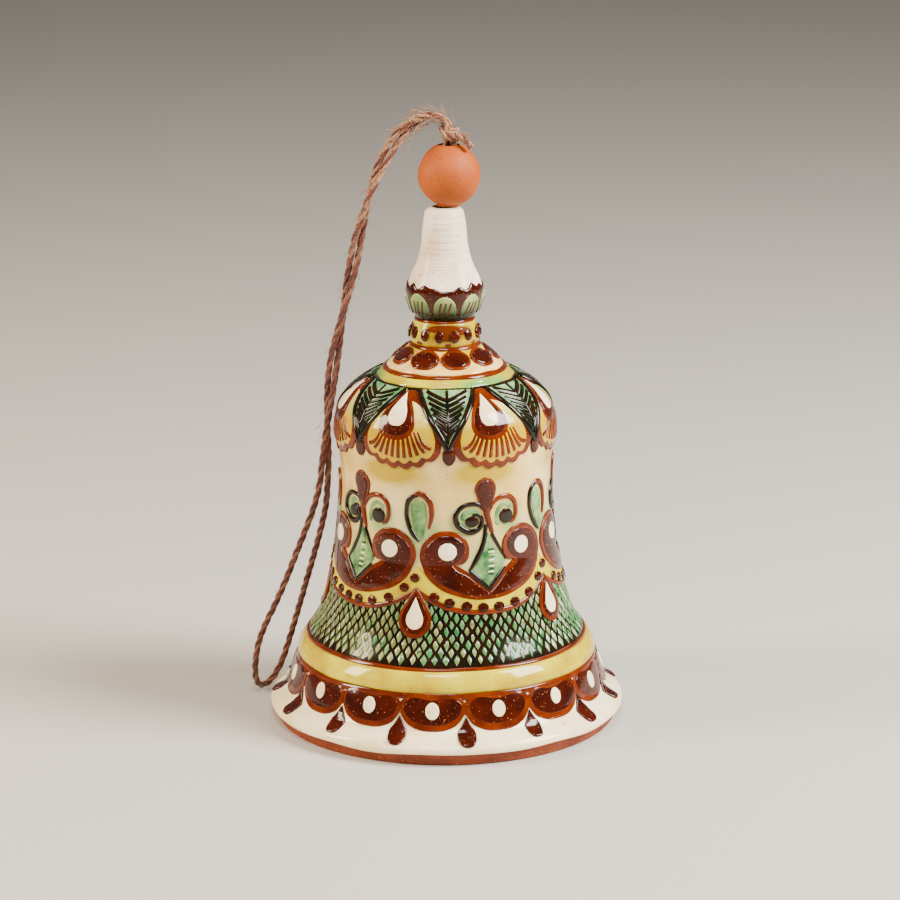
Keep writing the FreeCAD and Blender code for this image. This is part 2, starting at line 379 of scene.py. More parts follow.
def cell_glaze():
    """The net's cells: olive, green or pale, each cell its own tint plus painted light, paler on the right.
    """
    finish = Finish("cell_glaze", 0.14, coat=0.8)
    own = finish.ramp(finish.attribute("tint"), (0.0, tone(88, 84, 34)), (0.35, tone(128, 140, 82)),
                      (0.65, tone(50, 122, 62)), (1.0, tone(168, 190, 140)))
    worn = finish.ramp(finish.noise(900, 3.0), (0.5, BLACK), (0.75, WHITE))
    finish.colour(finish.mix(worn, own, tone(28, 52, 20)))
    finish.bump(finish.noise(900, 2.0), 0.12, 0.0003)
    return finish.material


CELL = cell_glaze()
print(len(bpy.data.materials), "materials")

# %% [markdown]
# Everything on the outside follows the shell, so its outline is read once from the frame: rays from the
# front find the radius at each height.  A flat piece is then laid on it as a transfer is on a pot: its
# width becomes an angle, its height a height, and its thickness a lift along the wall's normal.

# %% Outline of the shell and how a piece is laid on it
shell_tree = BVHTree.FromObject(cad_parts["bell_body"], bpy.context.evaluated_depsgraph_get())
shell_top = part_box("bell_body")[1].z / MM


def outside_radius(height):
    hit = shell_tree.ray_cast(Vector((0, -0.2, height * MM)), Vector((0, 1, 0)))[0]
    return -hit.y / MM


def inside_radius(height):
    hit = shell_tree.ray_cast(Vector((0, -0.0001, height * MM)), Vector((0, -1, 0)))[0]
    return -hit.y / MM


heights = np.arange(0.1, shell_top - 0.04, 0.2)
radii = np.array([outside_radius(h) for h in heights])


def radius_at(height):
    return float(np.interp(height, heights, radii))


def on_shell(angle, height, lift):
    """The place at an angle from the front, a height, and a lift along the wall's normal."""
    rise = (radius_at(height + 0.5) - radius_at(height - 0.5))
    length = math.hypot(1, rise)
    radius = radius_at(height) + lift / length
    up = height - lift * rise / length
    turn = math.radians(angle)
    return Vector((radius * math.sin(turn), -radius * math.cos(turn), up)) * MM


def lay(piece, centre, reference):
    """Lay a flat piece, drawn in millimetres at a reference radius, on the shell at an angle."""
    for vertex in piece.data.vertices:
        across, height, lift = vertex.co
        vertex.co = on_shell(centre + math.degrees(across / reference), height, lift)


print("shell", round(shell_top, 1), "mm tall,", round(2 * radii.max(), 1), "mm across")

# %% [markdown]
# A dipped or banded slip is a thin skin all round the pot.  It could be spun like the pot, but then its
# edges would be perfect circles.  It is a grid laid on the shell instead, with more rows near its two
# edges, where it thins out and sinks into the clay.  Its edges can be numbers or functions of the
# angle, so that a hand-held band can waver and a garland can hang.

# %% Bands of slip
def waver(seed, size):
    """A small seeded unevenness of a hand-drawn edge, the same at 0 and 360 degrees."""
    source = random.Random(seed)
    waves = [(n, source.uniform(-1, 1), source.uniform(0, 6.3)) for n in (2, 3, 5, 9, 14)]

    def edge(angle):
        return size * sum(a * math.sin(n * math.radians(angle) + p) for n, a, p in waves) / 2
    return edge


def value(edge, angle):
    return edge(angle) if callable(edge) else edge


def band(name, low, high, base, top, material, columns=240, rows=9, soft=0.3, seed=1, uneven=0.12):
    deselect()
    bpy.ops.mesh.primitive_grid_add(x_subdivisions=columns, y_subdivisions=rows, size=1)
    piece = bpy.context.object
    low_waver, high_waver = waver(seed, uneven), waver(seed + 50, uneven)
    for vertex in piece.data.vertices:
        angle = 360 * (vertex.co.x + 0.5)
        share = 0.5 - 0.5 * math.cos(math.pi * (vertex.co.y + 0.5))
        start = value(low, angle) + low_waver(angle)
        end = value(high, angle) + high_waver(angle)
        height = start + (end - start) * share
        depth = min(height - start, end - height)
        if depth < 0.001:
            lift = base - 0.15
        else:
            fade = max(0.0, 1 - depth / soft)
            lift = base + (top - base) * math.sqrt(1 - fade * fade)
        vertex.co = on_shell(angle, height, lift)
    heal(piece)
    smooth(piece, 60)
    return finish_piece(piece, name, material, "bell")


print("a hand-drawn edge wavers by", round(max(abs(waver(1, 1)(a)) for a in range(360)), 2), "of its size")

# %% [markdown]
# The clay shell itself is spun, as it was thrown on a wheel: the outline outside and inside, read from the
# frame, is one row of vertices that turns round the axis.  The frame's own solid could be used, but it
# has no finger rings.  The shell stays bare inside and at the foot.

# %% Clay shell
def spun(name, outline, steps, sharp=50):
    """Spin a closed outline of (radius, height) points, in millimetres, round the axis."""
    deselect()
    bpy.ops.mesh.primitive_circle_add(vertices=len(outline), radius=1)
    piece = bpy.context.object
    piece.name = name
    for vertex, (radius, height) in zip(piece.data.vertices, outline):
        vertex.co = (radius * MM, 0, height * MM)
    edit(piece, lambda: bpy.ops.mesh.spin(steps=steps, angle=math.tau, center=(0, 0, 0), axis=(0, 0, 1)))
    heal(piece)
    smooth(piece, sharp)
    return piece


def clay_shell():
    outer = [(radius_at(h), h) for h in np.arange(0.1, shell_top - 1.2, 0.9)]
    outer += [(radius_at(shell_top - 0.4), shell_top - 0.4), (3.0, shell_top)]
    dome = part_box("crown_knot")[1].z / MM
    inner = [(inside_radius(h) - 0.09 * math.sin(2.1 * h) * min(1, h / 6), h)
             for h in np.arange(0.25, dome - 0.6, 1.5)]
    bore = inside_radius(shell_top - 20)
    inner += [(bore + 1.0, dome + 0.1), (bore, dome + 1.2), (bore, shell_top - 0.6), (bore + 0.5, shell_top)]
    piece = spun("clay_shell", outer + inner[::-1], 144)
    finish_piece(piece, "clay_shell", CLAY, "bell")
    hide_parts("bell_body")


clay_shell()

# %% [markdown]
# The dipped and banded grounds come from the lip up: cream lip, rust line, yellow ridge, dark net ground,
# and the large cream wall.  In the kiln the slips run a little into the glaze, so the wall has soft yellow
# and green stains.  They could be thin pieces of their own, but those would have edges, so they are
# painted on the wall as an attribute, round the places that they ran from.

# %% Grounds
MOTIFS = 5
MOTIF_STEP = 360 / MOTIFS
MOTIF_FIRST = 21.5
PETALS = 7
PETAL_STEP = 360 / PETALS
PETAL_FIRST = 27.0
SCALLOPS = 15
SCALLOP_STEP = 360 / SCALLOPS
SCALLOP_FIRST = -5.0


def around(first, count):
    return [first + 360 / count * n for n in range(count)]


def from_centre(angle, first, step):
    """How far an angle is from the nearest repeat's centre."""
    return (angle - first + step / 2) % step - step / 2


def garland(angle):
    """Height of the line that hangs in swags round the foot of the wall."""
    away = abs(from_centre(angle, MOTIF_FIRST, MOTIF_STEP)) / (MOTIF_STEP / 2)
    return 30.3 + 4.9 * away ** 2.4


def garland_top(angle):
    away = abs(from_centre(angle, MOTIF_FIRST, MOTIF_STEP)) / (MOTIF_STEP / 2)
    return 34.2 + 6.6 * away ** 3


def paint_runs(piece, name, runs):
    """An attribute that is 1 where a slip ran and fades out round it."""
    attribute = piece.data.attributes.new(name, "FLOAT", "POINT")
    values = []
    for vertex in piece.data.vertices:
        angle = math.degrees(math.atan2(vertex.co.x, -vertex.co.y))
        most = 0.0
        for centre, height, width, tall, strength in runs:
            across = from_centre(angle, centre, 360) / width
            up = (vertex.co.z / MM - height) / tall
            most = max(most, strength * math.exp(-across * across - up * up))
        values.append(most)
    attribute.data.foreach_set("value", values)


band("lip_slip", 2.6, 13.2, 0, 0.24, LIP_CREAM, rows=12, uneven=0.35, seed=3)
band("lip_line", 13.1, 14.55, 0.1, 0.5, RUST, soft=0.7, seed=4)
band("ridge_slip", 14.4, 18.9, 0, 0.42, YELLOW, soft=0.8, seed=5)
band("ridge_line", 18.75, 19.5, 0.1, 0.4, RUST, soft=0.35, seed=6, uneven=0.25)
band("net_ground", 19.2, 36.5, 0, 0.14, BLACK_SLIP, seed=7)
wall = band("wall_slip", 33.0, 77.6, 0, 0.24, CREAM, columns=300, rows=70, seed=8)
green_runs, yellow_runs = [], []
for centre in around(MOTIF_FIRST, MOTIFS):
    green_runs += [(centre - 36, 48.5, 9, 6.5, 0.85), (centre - 29, 47.5, 8, 3.5, 0.8),
                   (centre - 12, 50.0, 9, 4.2, 0.85), (centre + 14, 49.6, 9, 4.6, 0.85),
                   (centre, 41, 13, 7, 0.75)]
for n, centre in enumerate(around(PETAL_FIRST, PETALS)):
    yellow_runs.append((centre + 6 * (n % 3 - 1), 61.2, 17, 3.0, (1.8, 1.1, 0.8)[n % 3]))
    green_runs.append((centre - 27, 74, 6, 5, 0.6))
paint_runs(wall, "yellow_run", yellow_runs)
paint_runs(wall, "green_run", green_runs)

# %% [markdown]
# A painted shape is a low cushion of thick slip with a rounded edge.  It could be painted as colour only,
# but then it would catch no light.  It is drawn flat as a closed curve with few points, filled, given its
# thickness and a rounded edge, cut into a fine grid so that it can bend, raised a little in the middle,
# and laid on the shell.

# %% Cushions of slip
CUT = 1.3
HAND_GROW = 0.06
HAND_SHIFT = 0.18


def flat_curve(points, reference, closed):
    """A Bezier spline from (angle, height) points; a third item makes the point a sharp corner."""
    curve = bpy.data.curves.new("slip", "CURVE")
    curve.resolution_u = 6
    spline = curve.splines.new("BEZIER")
    spline.bezier_points.add(len(points) - 1)
    spline.use_cyclic_u = closed
    for knot, point in zip(spline.bezier_points, points):
        knot.co = (math.radians(point[0]) * reference, point[1], 0)
        sharp = len(point) > 2 and point[2] == "sharp"
        knot.handle_left_type = knot.handle_right_type = "VECTOR" if sharp else "AUTO"
    return curve


def to_mesh(curve):
    piece = bpy.data.objects.new("slip", curve)
    bpy.context.scene.collection.objects.link(piece)
    pick(piece)
    bpy.ops.object.convert(target="MESH")
    return bpy.context.object


def cut_fine(piece, size=CUT):
    """Cut a flat piece by a grid of planes, so that it can follow the shell."""
    corners = np.array([v.co for v in piece.data.vertices])
    low, high = corners.min(0), corners.max(0)
    cuts = []
    for axis, normal in ((0, (1, 0, 0)), (1, (0, 1, 0))):
        count = int((high[axis] - low[axis]) / size)
        for n in range(1, count + 1):
            place = [0, 0, 0]
            place[axis] = low[axis] + (high[axis] - low[axis]) * n / (count + 1)
            cuts.append((place, normal))

    def cut():
        for place, normal in cuts:
            bpy.ops.mesh.select_all(action="SELECT")
            bpy.ops.mesh.bisect(plane_co=place, plane_no=normal)
    edit(piece, cut)


def cushion(points, reference, base, top, dome=0.12, edge=0.16, size=CUT):
    """A flat cushion of slip with a rounded edge, from its outline."""
    edge = min(edge, (top - base) / 2)
    curve = flat_curve(points, reference, True)
    curve.dimensions = "2D"
    curve.fill_mode = "BOTH"
    curve.extrude = (top - base) / 2 - edge
    curve.bevel_depth = edge
    curve.bevel_resolution = 2
    curve.offset = -edge
    piece = to_mesh(curve)
    cut_fine(piece, size)
    rim = [v.co for v in piece.data.vertices if abs(v.co.z) < (top - base) / 2 - edge + 0.001]
    tree = KDTree(len(rim))
    for n, place in enumerate(rim):
        tree.insert(place, n)
    tree.balance()
    middle = (top + base) / 2
    for vertex in piece.data.vertices:
        rise = 0.0
        if vertex.co.z > 0.9 * (top - base) / 2:
            rise = dome * (1 - math.exp(-tree.find(vertex.co)[2] / 0.9))
        vertex.co.z += middle + rise
    return piece


print("a cushion is cut about every", CUT, "mm")

# %% [markdown]
# Lines from the horn are flattened, tapering tubes, and dots are small round cushions, both laid on the
# shell in the same way.  What repeats is drawn once.  Each copy gets its own mesh, a little larger,
# smaller or shifted, because a hand never draws the same shape twice.

# %% Strokes, dots and repeats
def stroke(points, reference, widths, lift, flat=0.6, sides=3):
    """A flattened tube along (angle, height) points, as thick as widths says at each."""
    curve = flat_curve(points, reference, False)
    curve.dimensions = "3D"
    curve.bevel_depth = 1
    curve.bevel_resolution = sides
    curve.use_fill_caps = True
    for knot, width in zip(curve.splines[0].bezier_points, widths):
        knot.radius = width / 2
    piece = to_mesh(curve)
    for vertex in piece.data.vertices:
        vertex.co.z = vertex.co.z * flat + lift
    return piece


def mirrored(points):
    """The points, then the same on the other side, for an outline that starts and ends on its middle."""
    return points + [(-p[0],) + tuple(p[1:]) for p in points[::-1] if abs(p[0]) > 0.01]


def disc(angle, height, across, tall, reference, base, top, dome=0.15, edge=0.14):
    """A round dot of slip, as wide and as tall as given, in millimetres."""
    points = []
    for n in range(8):
        turn = math.tau * n / 8
        points.append((angle + math.degrees(across / 2 * math.cos(turn) / reference),
                       height + tall / 2 * math.sin(turn)))
    return cushion(points, reference, base, top, dome, edge, size=0.8)


def joined(pieces):
    pick(*pieces)
    if len(pieces) > 1:
        bpy.ops.object.join()
    return bpy.context.object


def repeat(name, flat, centres, reference, material, wobble=0.0):
    """Copy a flat piece to each centre, each a little uneven, lay the copies and join them."""
    copies = []
    for centre in centres:
        one = flat.copy()
        one.data = flat.data.copy()
        bpy.context.scene.collection.objects.link(one)
        grow = 1 + hand.uniform(-wobble, wobble) * HAND_GROW
        shift = hand.uniform(-wobble, wobble) * HAND_SHIFT
        middle = sum(v.co.y for v in one.data.vertices) / len(one.data.vertices)
        for vertex in one.data.vertices:
            vertex.co.x *= grow
            vertex.co.y = middle + (vertex.co.y - middle) * grow + shift
        lay(one, centre, reference)
        copies.append(one)
    bpy.data.objects.remove(flat)
    piece = joined(copies)
    smooth(piece, 50)
    return finish_piece(piece, name, material, "bell")


print("a mirrored pair of points gives", len(mirrored([(0, 1), (1, 0)])), "points")

# %% [markdown]
# Round the lip hang scallops, which the potter draws with the horn as one row: a rust outline, a brown
# fill, a cream dot, and a brown drop under each join.  One scallop is drawn in layers, each layer a
# little higher than the one below, so that the edges show as on thick slip.

# %% Scallops of the lip
LIP_RADIUS = 35.5
scallop_centres = [c + hand.uniform(-0.5, 0.5) for c in around(SCALLOP_FIRST, SCALLOPS)]
scallop_edge = [(0, 13.3), (11.6, 13.0), (12.1, 10.2, "sharp"), (8.6, 7.7), (0, 6.5)]
scallop_fill = [(0, 13.0), (9.9, 12.8), (10.6, 10.9), (7.4, 8.8), (0, 7.7)]
drop = [(0, 9.7, "sharp"), (1.5, 8.0), (3.1, 6.0), (2.0, 4.7), (0, 4.35)]
repeat("scallop_outlines", cushion(mirrored(scallop_edge), LIP_RADIUS, 0.1, 0.5), scallop_centres,
       LIP_RADIUS, RUST, 0.4)
repeat("scallop_fills", cushion(mirrored(scallop_fill), LIP_RADIUS, 0.3, 0.62), scallop_centres,
       LIP_RADIUS, BROWN, 0.4)
repeat("scallop_dots", disc(0, 11.0, 3.0, 3.5, LIP_RADIUS, 0.5, 0.85), scallop_centres,
       LIP_RADIUS, LIP_CREAM, 1)
repeat("lip_drops", cushion(mirrored(drop), LIP_RADIUS, 0.1, 0.62, dome=0.25),
       [c + SCALLOP_STEP / 2 for c in scallop_centres], LIP_RADIUS, BROWN, 1)

# %% [markdown]
# Above the ridge lies a net: green diamonds between crossing dark lines.  The lines could be drawn over a
# green ground, but the cells are what stands up and shines, so the ground is dark and the cells are laid
# on it.  One cell is a small eight-sided cushion with few faces, because there are hundreds of them.
# They lie in staggered rows that get wider towards the lip, each with its own tint, over which painted
# light makes the cells on the right paler and painted shade makes those on the left more olive.

# %% Net of diamonds
NET_COLUMNS = 76
NET_ROWS = [20.9 + 1.42 * n for n in range(11)]


def net_cell():
    deselect()
    bpy.ops.mesh.primitive_circle_add(vertices=8, radius=1, fill_type="NGON")
    piece = bpy.context.object
    for n, vertex in enumerate(piece.data.vertices):
        reach = 1.0 if n % 2 == 0 else 0.76
        vertex.co.x *= 0.71 * reach
        vertex.co.y *= 1.22 * reach
    edit(piece, lambda: bpy.ops.mesh.extrude_region_move(TRANSFORM_OT_translate={"value": (0, 0, 0.16)}),
         lambda: bpy.ops.mesh.select_all(action="DESELECT"))
    top = [f for f in piece.data.polygons if f.normal.z > 0.9]
    for face in top:
        face.select = True
    pick(piece)
    bpy.ops.object.mode_set(mode="EDIT")
    bpy.ops.mesh.inset(thickness=0.16, depth=0.1)
    bpy.ops.object.mode_set(mode="OBJECT")
    return piece


def net():
    flat = net_cell()
    cells = []
    for row, height in enumerate(NET_ROWS):
        for column in range(NET_COLUMNS):
            angle = 360 / NET_COLUMNS * (column + 0.5 * (row % 2)) + hand.uniform(-0.35, 0.35)
            if height > garland(angle) + 0.9:
                continue
            one = flat.copy()
            one.data = flat.data.copy()
            bpy.context.scene.collection.objects.link(one)
            reference = radius_at(height)
            bold = 0.16 * math.exp(-(from_centre(angle, 15, 360) / 26) ** 2)
            thin = (hand.uniform(0.82, 1.06) - bold) * reference / 28.5
            tall = hand.uniform(0.86, 1.06) - bold
            lean = hand.uniform(-0.06, 0.1)
            for vertex in one.data.vertices:
                x, y = vertex.co.x * thin, vertex.co.y * tall
                vertex.co = (x + lean * y, y + height + hand.uniform(-0.03, 0.03), vertex.co.z + 0.1)
            lay(one, angle, reference)
            # Painted light and shade: cells on the right, the side the light comes from, get paler tints and
            # those on the left more olive ones; the random part is each cell's own tint.
            side = 0.5 + 0.5 * math.sin(math.radians(from_centre(angle, 0, 360)))
            tint = 0.1 + 0.5 * side + hand.uniform(-0.1, 0.42)
            attribute = one.data.attributes.new("tint", "FLOAT", "POINT")
            attribute.data.foreach_set("value", [min(1.0, max(0.0, tint))] * len(one.data.vertices))
            cells.append(one)
    bpy.data.objects.remove(flat)
    piece = joined(cells)
    smooth(piece, 40)
    finish_piece(piece, "net_cells", CELL, "bell")


net()

# %% [markdown]
# A yellow swag with brown dots hangs over the net, with a rust line under it, and a ringed drop hangs
# where two swags meet.  The swag goes all the way round without a break, so it is a band whose edges
# follow the garland, and only its dots and drops are repeated.

# %% Swags
SWAG_RADIUS = 26
DROP_RADIUS = 27.5
WALL_RADIUS = 24.5
band("swag_line", lambda a: garland(a) - 0.55, lambda a: garland(a) + 0.75, 0.1, 0.62, RUST, soft=0.5,
     seed=20)
band("swag_yellow", lambda a: garland(a) + 0.35, garland_top, 0.1, 0.5, YELLOW, soft=0.5, seed=21)
swag_dots = [(-26.9, 33.9), (-19.6, 32.7), (-11.4, 31.9), (-3.5, 31.4), (4.4, 31.3), (13.2, 31.7),
             (22.4, 33.0), (30.6, 35.6), (36.0, 37.9)]
repeat("swag_dots", joined([disc(a, h + 0.15, 2.4, 2.0, SWAG_RADIUS, 0.4, 0.8, dome=0.25)
                            for a, h in swag_dots]), around(MOTIF_FIRST, MOTIFS), SWAG_RADIUS, BROWN, 0.6)
meeting = [c + MOTIF_STEP / 2 for c in around(MOTIF_FIRST, MOTIFS)]
hanging_drop = [(0, 35.8, "sharp"), (3.4, 33.6), (7.6, 28.9), (5.0, 26.2), (0, 25.2)]
drop_heart = [(0, 33.9, "sharp"), (2.2, 31.6), (4.1, 28.8), (2.4, 27.3), (0, 26.9)]
repeat("swag_drops", cushion(mirrored(hanging_drop), DROP_RADIUS, 0.2, 0.72), meeting, DROP_RADIUS,
       RUST, 0.6)
drop_ring = [(0, 34.7, "sharp"), (2.8, 32.7), (6.2, 28.8), (4.0, 26.7), (0, 25.9)]
repeat("swag_drop_fills", cushion(mirrored(drop_ring), DROP_RADIUS, 0.5, 0.8), meeting, DROP_RADIUS,
       BROWN, 0.6)
repeat("swag_drop_hearts", cushion(mirrored(drop_heart), DROP_RADIUS, 0.6, 0.98), meeting, DROP_RADIUS,
       LIP_CREAM, 0.6)

# %% [markdown]
# The large motif on the wall is a pair of curling scrolls that meet in a notch, with a cream eye in each
# curl.  Half the scroll is drawn, and the other half is its mirror image, as the painter turns the same
# stroke both ways.

# %% Scrolls
motifs = around(MOTIF_FIRST, MOTIFS)
scroll = [(0, 34.9, "sharp"), (-3.9, 36.8), (-9.8, 39.2), (-15.6, 40.9, "sharp"), (-11.8, 41.2),
          (-9.2, 44.0), (-11.5, 46.6), (-21, 48.4), (-30.2, 47.0), (-34.9, 43.6), (-33.4, 40.2),
          (-28, 36.8), (-16, 34.1), (0, 33.0)]
scroll_fill = [(0, 34.35, "sharp"), (-4.8, 36.1), (-10.2, 38.3), (-16.2, 39.8), (-18.2, 40.9, "sharp"),
               (-14.4, 41.9), (-11.6, 44.1), (-13.5, 46.1), (-21, 47.4), (-28.6, 46.1), (-32.3, 43.3),
               (-31, 40.6), (-26, 37.6), (-15.5, 35.0), (0, 33.75)]
repeat("scroll_outlines", cushion(mirrored(scroll), WALL_RADIUS, 0.1, 0.62), motifs, WALL_RADIUS, RUST)
repeat("scroll_fills", cushion(mirrored(scroll_fill), WALL_RADIUS, 0.4, 0.78), motifs, WALL_RADIUS, BROWN)
eyes = joined([disc(side * 20.6, 43.8, 4.0, 3.9, WALL_RADIUS, 0.6, 0.96) for side in (-1, 1)])
repeat("scroll_eyes", eyes, motifs, WALL_RADIUS, LIP_CREAM)

# %% [markdown]
# A green diamond stands in the notch, with dark and pale ticks up its middle and dark strokes for sides.
# It leans a little, so it is drawn whole and not mirrored.

# %% Diamond
diamond = [(1.2, 47.6, "sharp"), (5.2, 44.0), (10.6, 40.7, "sharp"), (6.0, 38.4), (0.3, 35.7, "sharp"),
           (-5.2, 38.0), (-9.6, 39.7, "sharp"), (-3.4, 43.2)]
repeat("diamonds", cushion(diamond, WALL_RADIUS, 0.05, 0.4), motifs, WALL_RADIUS, GREEN)
ticks = joined([stroke([(x - 1.5, y), (x + 1.5, y)], WALL_RADIUS, (0.34, 0.42), 0.42)
                for x, y in ((2.7, 43.8), (2.4, 42.1), (2.3, 40.7), (2.0, 39.5), (1.7, 38.4))])
repeat("diamond_ticks", ticks, motifs, WALL_RADIUS, BLACK_SLIP)
pale_ticks = joined([stroke([(x - 1.5, y), (x + 1.5, y)], WALL_RADIUS, (0.3, 0.4), 0.46)
                     for x, y in ((2.6, 43.2), (2.4, 41.4), (2.2, 40.1), (1.9, 38.9))])
repeat("pale_ticks", pale_ticks, motifs, WALL_RADIUS, LIP_CREAM)
sides = joined([
    stroke([(0.2, 49.4), (-1.4, 45.4), (-5.0, 42.2), (-9.4, 39.4)], WALL_RADIUS, (0.9, 1.1, 1.2, 0.7), 0.4),
    stroke([(-9.3, 39.4), (-4.6, 37.3), (0.2, 35.1)], WALL_RADIUS, (0.9, 1.1, 0.9), 0.6),
    stroke([(9.8, 39.6), (5.4, 37.6), (0.6, 35.4)], WALL_RADIUS, (0.6, 1.0, 0.9), 0.6),
    stroke([(3.2, 47.2), (6.6, 44.6), (10.8, 41.2)], WALL_RADIUS, (0.9, 0.8, 0.4), 0.4),
])
repeat("diamond_sides", sides, motifs, WALL_RADIUS, BLACK_SLIP)

# %% [markdown]
# A brown bud with a rust rim grows out of the diamond.  Its stem bends over to the right, and a dark curl
# rolls up to the left, with green slip inside the curves.  Strokes that belong together are joined
# before they are repeated, so that they keep their places.

# %% Bud, stem and curls
bud = [(-0.3, 60.0), (5.2, 58.6), (6.2, 57.0), (4.7, 54.6), (3.6, 52.6), (-1.8, 52.6), (-4.4, 55.4),
       (-5.7, 57.9)]
bud_fill = [(-0.2, 59.4), (4.0, 58.2), (4.9, 56.9), (3.5, 54.6), (2.6, 52.4), (-1.0, 52.4), (-3.2, 55.4),
            (-4.4, 57.7)]
repeat("buds", cushion(bud, WALL_RADIUS, 0.1, 0.56), motifs, WALL_RADIUS, RUST)
repeat("bud_fills", cushion(bud_fill, WALL_RADIUS, 0.35, 0.76, dome=0.2), motifs, WALL_RADIUS, BROWN)
stem = joined([
    stroke([(0.8, 53.2), (1.0, 51.4), (2.2, 49.6), (3.8, 47.4)], WALL_RADIUS, (1.9, 1.5, 1.3, 0.8), 0.4),
    stroke([(0.6, 50.8), (3.4, 53.6), (10, 55.1), (16.2, 54.4), (18.7, 51.8), (17.2, 49.7), (15, 49.1)],
           WALL_RADIUS, (1.0, 1.1, 1.1, 1.1, 1.1, 0.9, 0.5), 0.42),
])
repeat("stems", stem, motifs, WALL_RADIUS, RUST, 0.2)
curl = joined([
    stroke([(0.6, 52.9), (-6, 54.1), (-13.5, 53.3), (-16.2, 50.9), (-12.6, 48.7), (-6.6, 48.0),
            (-2.4, 49.4), (-3.0, 51.3), (-7.2, 51.7)], WALL_RADIUS,
           (0.9, 1.0, 1.1, 1.3, 1.3, 1.3, 1.1, 0.9, 0.5), 0.42),
    disc(-7.4, 50.2, 3.2, 2.4, WALL_RADIUS, 0.1, 0.55),
    disc(12.2, 50.7, 3.5, 3.3, WALL_RADIUS, 0.1, 0.6),
])
repeat("curls", curl, motifs, WALL_RADIUS, BLACK_SLIP, 0.2)
curl_green = joined([
    cushion([(-13.4, 51.6), (-9.5, 53.0), (-4.0, 52.7), (-3.2, 52.0), (-8.5, 51.9), (-12.0, 50.6)],
            WALL_RADIUS, 0.05, 0.34, edge=0.1),
    cushion([(5.6, 51.4), (9.6, 53.7), (15.2, 53.3), (16.3, 52.4), (11.2, 53.0), (7.4, 51.0), (7.4, 48.9)],
            WALL_RADIUS, 0.05, 0.34, edge=0.1),
])
repeat("curl_greens", curl_green, motifs, WALL_RADIUS, GREEN, 0.2)

# %% [markdown]
# Between two motifs hangs a green leaf with a dark stroke on its left and a rust one on its right.

# %% Leaves of the wall
leaf_places = [m - 37 for m in motifs]
leaf = [(-2.2, 54.6), (3.6, 54.8), (5.2, 53.2), (4.6, 49.0), (2.0, 46.0), (0.2, 47.6), (-2.6, 51.0)]
repeat("leaves", cushion(leaf, WALL_RADIUS, 0.05, 0.4), leaf_places, WALL_RADIUS, GREEN, 0.5)
leaf_left = stroke([(1.2, 56.4), (-3.6, 55.4), (-5.6, 52.8), (-4.8, 50.0), (-1.8, 47.4), (1.6, 45.8)],
                   WALL_RADIUS, (0.7, 1.2, 1.1, 1.1, 1.1, 0.5), 0.42)
repeat("leaf_dark_sides", leaf_left, leaf_places, WALL_RADIUS, BLACK_SLIP, 0.5)
leaf_right = stroke([(-2.4, 56.1), (1.6, 56.5), (6.2, 55.2), (8.0, 52.4), (6.6, 49.0)],
                    WALL_RADIUS, (0.5, 1.2, 1.3, 1.2, 0.6), 0.44)
repeat("leaf_rust_sides", leaf_right, leaf_places, WALL_RADIUS, RUST, 0.5)

# %% [markdown]
# Seven petals lie round the shoulder.  Each has a scalloped rust edge, a yellow field with fanned rust
# strokes, and a ringed cream drop near its tip.  The same outline is drawn twice, the second time further
# in, so that the rust edge has an even width.

# %% Petals of the shoulder
SHOULDER_RADIUS = 23.5
LOBES = 6
PETAL_HALF = 22.0


def petal(inset):
    """Outline of a petal, drawn in from its edge by a distance in millimetres."""
    half = PETAL_HALF - math.degrees(inset / SHOULDER_RADIUS)
    points = []
    for n in range(2 * LOBES + 1):
        away = (n / LOBES - 1) * half
        height = 61.9 + 3.3 * (abs(away) / PETAL_HALF) ** 2.2 + inset
        if n % 2 == 0:
            points.append((away, height + 0.75, "sharp"))
        else:
            points.append((away, height))
    return points + [(half + 0.4, 69.0), (0.72 * half, 73.4), (0.36 * half, 76.6 - inset),
                     (-0.36 * half, 76.6 - inset), (-0.72 * half, 73.4), (-half - 0.4, 69.0)]


petal_centres = around(PETAL_FIRST, PETALS)
repeat("petal_edges", cushion(petal(0), SHOULDER_RADIUS, 0.1, 0.56), petal_centres, SHOULDER_RADIUS,
       RUST, 0.4)
repeat("petal_fields", cushion(petal(1.45), SHOULDER_RADIUS, 0.35, 0.7), petal_centres, SHOULDER_RADIUS,
       PETAL_SLIP, 0.4)
fan = joined([stroke([(1.05 * a, 64.6 + 0.008 * a * a), (0.86 * a, 67.4), (0.62 * a, 70.2)], SHOULDER_RADIUS,
                     (0.85, 0.85, 0.45), 0.76) for a in np.arange(-16.8, 17, 3.36)])
repeat("petal_strokes", fan, petal_centres, SHOULDER_RADIUS, RUST, 0.4)
drop_rim = [(0, 77.0, "sharp"), (5.4, 75.6), (10.6, 72.0), (9.6, 69.8), (5.2, 68.5), (0, 68.2)]
drop_fill = [(0, 76.4, "sharp"), (4.4, 75.0), (8.9, 72.0), (8.0, 70.3), (4.4, 69.3), (0, 69.0)]
drop_cream = [(0, 76.6, "sharp"), (2.6, 75.2), (5.3, 72.9), (4.0, 71.4), (0, 70.9)]
drop_centres = [c - 2.5 for c in petal_centres]
repeat("petal_drop_rims", cushion(mirrored(drop_rim), SHOULDER_RADIUS, 0.45, 0.84), drop_centres,
       SHOULDER_RADIUS, RUST, 0.4)
repeat("petal_drop_fills", cushion(mirrored(drop_fill), SHOULDER_RADIUS, 0.65, 0.96), drop_centres,
       SHOULDER_RADIUS, BROWN, 0.4)
repeat("petal_drop_hearts", cushion(mirrored(drop_cream), SHOULDER_RADIUS, 0.75, 1.12), drop_centres,
       SHOULDER_RADIUS, LIP_CREAM, 0.4)

# %% [markdown]
# A green leaf with dark ribs fills each gap between two petals, with a brown blob under its point.  The
# ribs are strokes of their own, because on the real bell they stand up from the leaf.

